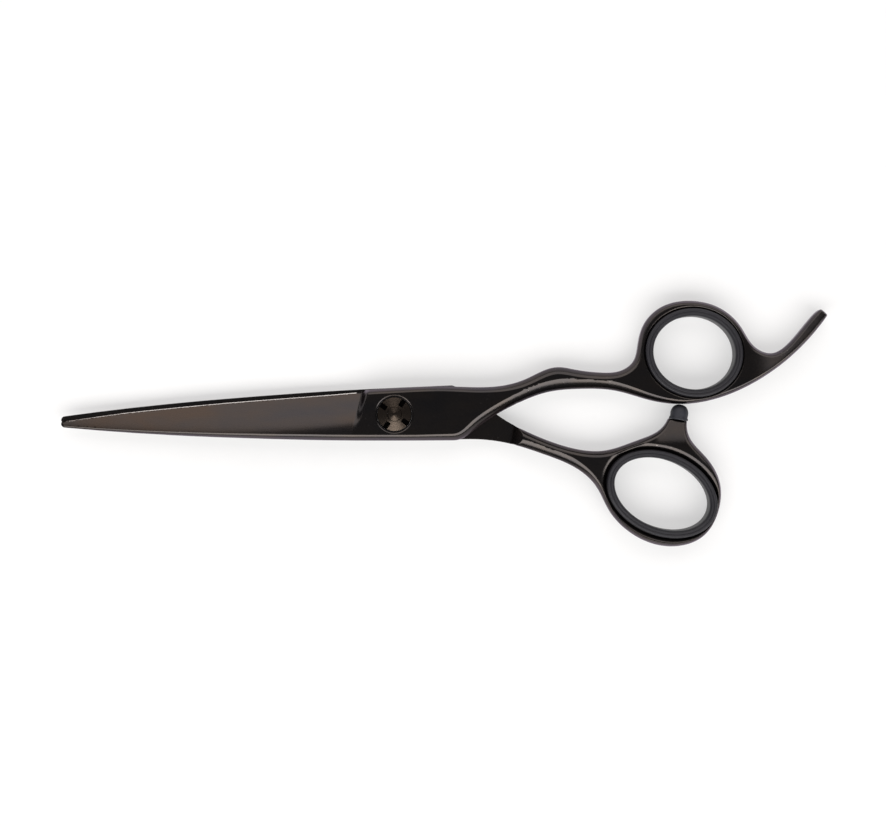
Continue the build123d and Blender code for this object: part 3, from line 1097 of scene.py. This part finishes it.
insert_rubber = rubber("insert_rubber", (0.0085, 0.0080, 0.0108), (0.0125, 0.0118, 0.0152), 0.44, 9000)
bumper_rubber = rubber("bumper_rubber", (0.0125, 0.0135, 0.0185), (0.0185, 0.0195, 0.0255), 0.55, 7000)
finger_insert = ring_insert("finger_ring_insert", finger_oval, "finger_insert", "finger_side", insert_rubber)
thumb_insert = ring_insert("thumb_ring_insert", thumb_oval, "thumb_insert", "thumb_side", insert_rubber)


def bumper_axis():
    """Base centre, direction, length and radius of the bumper's dome, from its node's mid-height cut."""
    loop = cut_loops("bumper", part_z)[0]
    loop = spread(loop, 0.1)
    middle = loop.mean(0)
    axes = np.linalg.eigh(np.cov((loop - middle).T))[1]
    along = axes[:, 1] if axes[1, 1] > 0 else -axes[:, 1]
    across = np.array([along[1], -along[0]])
    reach = (loop - middle) @ along
    side = (loop - middle) @ across
    radius = np.ptp(side) / 2
    wide = reach[np.abs(side - side.mean()) > radius * 0.75]
    base = middle + along * wide.min() + across * (side.max() + side.min()) / 2
    return base, along, reach.max() - wide.min(), radius


def bumper_dome():
    """Moulded bumper: a lip at its base, a slightly narrower neck and a dome."""
    base, along, height, radius = bumper_axis()
    profile = [(0.0, 0.0), (radius * 0.97, 0.0), (radius, 0.06), (radius, 0.36), (radius * 0.975, 0.45),
               (radius * 0.93, 0.56), (radius * 0.92, 0.75)]
    shoulder = height * 0.40
    for k in range(17):
        a = math.radians(90 * k / 16)
        profile.append((radius * 0.94 * math.cos(a) ** 0.85 if k < 16 else 0.0,
                        shoulder + (height - shoulder) * math.sin(a)))
    across = np.array([along[1], -along[0], 0])
    forward = np.array([along[0], along[1], 0])
    up = np.array([0, 0, 1.0])
    origin = np.array([base[0] + bumper_shift, base[1], part_z])
    count = 72
    positions = []
    for r, h in profile:
        for i in range(count):
            a = 2 * math.pi * i / count
            positions.append(origin + forward * h + across * r * math.cos(a) + up * r * math.sin(a))
    faces = [(b, a, d, c) for a, b, c, d in rings_of_quads(len(profile), count, closed=False)]
    return np.array(positions), faces


positions, faces = bumper_dome()
bumper = soft_piece("bumper_dome", positions, faces, "bumper", "thumb_side", bumper_rubber)
merge = bumper.modifiers.new("merge", "WELD")
merge.merge_threshold = 1e-6

dress("tension_nut", turned_steel("nut_steel", 0.25, nut_high[2] - nut_slot_depth))
dress("pivot_stud", turned_steel("stud_steel", 0.25, -1))
dress("spring_washer", spring_steel())
dress("thrust_washer", spring_steel())
dress("pivot_bush", bearing_plastic())
dress("glide_washer", bearing_plastic())


# ---------------------------------------------------------------- camera, floor and lights

def floor():
    """Wide plain floor, a square grid of quads."""
    mesh = bpy.data.meshes.new("floor")
    size, cells = 4.0, 8
    row = cells + 1
    verts = [((i / cells - 0.5) * size, (j / cells - 0.5) * size, floor_z)
             for j in range(row) for i in range(row)]
    corners = [j * row + i for j in range(cells) for i in range(cells)]
    quads = [(a, a + 1, a + row + 1, a + row) for a in corners]
    mesh.from_pydata(verts, [], quads)
    mesh.materials.append(floor_paper())
    add_object("floor", mesh)


floor()

low, high = cad_box
middle = Vector(((low[0] + high[0]) / 2, 0.0, 0.0))
tilt = math.radians(1.34)
view_centre = Vector((0.01164, 0.00002, 0))
camera_height = 0.5
field_width = 0.21264             # width of the view at the level below
view_level = 0.005
sensor_width = 36

camera_data = bpy.data.cameras.new("camera")
camera_data.sensor_width = sensor_width
camera_data.lens = sensor_width * (camera_height - view_level) / field_width
camera_data.clip_start = 0.01
camera = add_object("camera", camera_data)
camera.location = (view_centre.x, view_centre.y, camera_height)
camera.rotation_euler = (0, 0, -tilt)
bpy.context.scene.camera = camera


def softbox(name, azimuth, elevation, distance, size, radiance, colour):
    """Rectangular soft light that looks at the object's middle. Azimuth is measured from +X in plan."""
    data = bpy.data.lights.new(name, "AREA")
    data.shape = "RECTANGLE"
    data.size, data.size_y = size
    data.energy = radiance * math.pi * size[0] * size[1]
    data.color = colour
    obj = add_object(name, data)
    az, el = math.radians(azimuth), math.radians(elevation)
    away = Vector((math.cos(az) * math.cos(el), math.sin(az) * math.cos(el), math.sin(el)))
    obj.location = middle + away * distance
    obj.rotation_euler = away.to_track_quat("Z", "Y").to_euler()
    obj.visible_camera = False


softbox("key_south", -90, 51, 0.9, (2.1, 0.64), 4.5, (1.0, 0.985, 0.965))
softbox("fill_north", 90, 40.5, 0.95, (2.1, 1.02), 1.7, (1.0, 0.96, 0.94))

world = bpy.data.worlds.new("studio")
world.use_nodes = True
world.node_tree.nodes["Background"].inputs["Color"].default_value = (0.12, 0.12, 0.13, 1)
bpy.context.scene.world = world
bpy.context.scene.view_settings.view_transform = "Standard"
